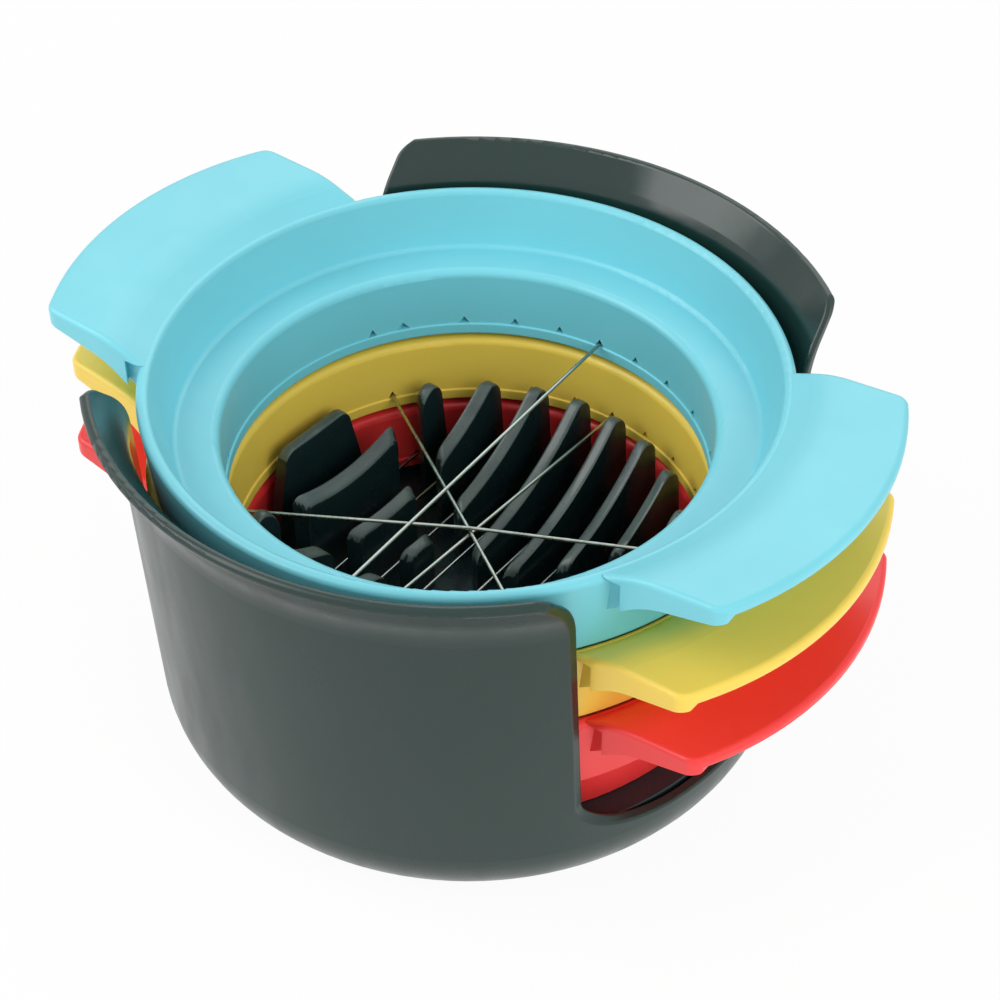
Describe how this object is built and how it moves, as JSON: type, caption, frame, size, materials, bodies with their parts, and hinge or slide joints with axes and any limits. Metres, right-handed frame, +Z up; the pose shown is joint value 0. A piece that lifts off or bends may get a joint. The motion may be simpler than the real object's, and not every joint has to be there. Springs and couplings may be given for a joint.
{
  "type": "egg slicer",
  "caption": "Stacking egg cutter: an open bowl with a finned cradle carries nested wire frames with wing handles, lifted out to halve, wedge or slice an egg.",
  "frame": {"origin": "centre of the bowl's flat base", "axes": "+Z up, +X along the handles of the top frame, +Y along its wire"},
  "size_m": [0.1324, 0.1132, 0.0705],
  "materials": {
    "bowl_plastic": "moulded, satin gloss, nearly black",
    "cradle_plastic": "moulded, gloss, black",
    "blue_plastic": "moulded, satin gloss, pale turquoise blue",
    "yellow_plastic": "moulded, satin gloss, yellow",
    "red_plastic": "moulded, satin gloss, red",
    "wire_steel": "drawn stainless wire, bright",
    "crimp_steel": "plain crimped sleeve"
  },
  "bodies": {
    "bowl_set": {"bowl": "bowl_plastic", "egg_cradle": "cradle_plastic"},
    "blue_cutter": {"blue_frame": "blue_plastic", "blue_clamp_ring": "blue_plastic", "blue_halving_wire": "wire_steel", "blue_wire_crimps": "crimp_steel"},
    "yellow_cutter": {"yellow_frame": "yellow_plastic", "yellow_clamp_ring": "yellow_plastic", "yellow_wedge_wire_1": "wire_steel", "yellow_wedge_wire_2": "wire_steel", "yellow_wedge_wire_3": "wire_steel", "yellow_wire_crimps": "crimp_steel"},
    "red_cutter": {"red_frame": "red_plastic", "red_clamp_ring": "red_plastic", "red_slicing_wire_1": "wire_steel", "red_slicing_wire_2": "wire_steel", "red_slicing_wire_3": "wire_steel", "red_slicing_wire_4": "wire_steel", "red_slicing_wire_5": "wire_steel", "red_slicing_wire_6": "wire_steel", "red_slicing_wire_7": "wire_steel", "red_slicing_wire_8": "wire_steel", "red_slicing_wire_9": "wire_steel", "red_wire_crimps": "crimp_steel"}
  },
  "joints": [
    {"name": "red_lift", "type": "slide", "parent": "bowl_set", "child": "red_cutter", "axis": [0, 0, 1], "range_m": [0, 0.062]},
    {"name": "yellow_lift", "type": "slide", "parent": "red_cutter", "child": "yellow_cutter", "axis": [0, 0, 1], "range_m": [0, 0.048]},
    {"name": "blue_lift", "type": "slide", "parent": "yellow_cutter", "child": "blue_cutter", "axis": [0, 0, 1], "range_m": [0, 0.035]}
  ]
}
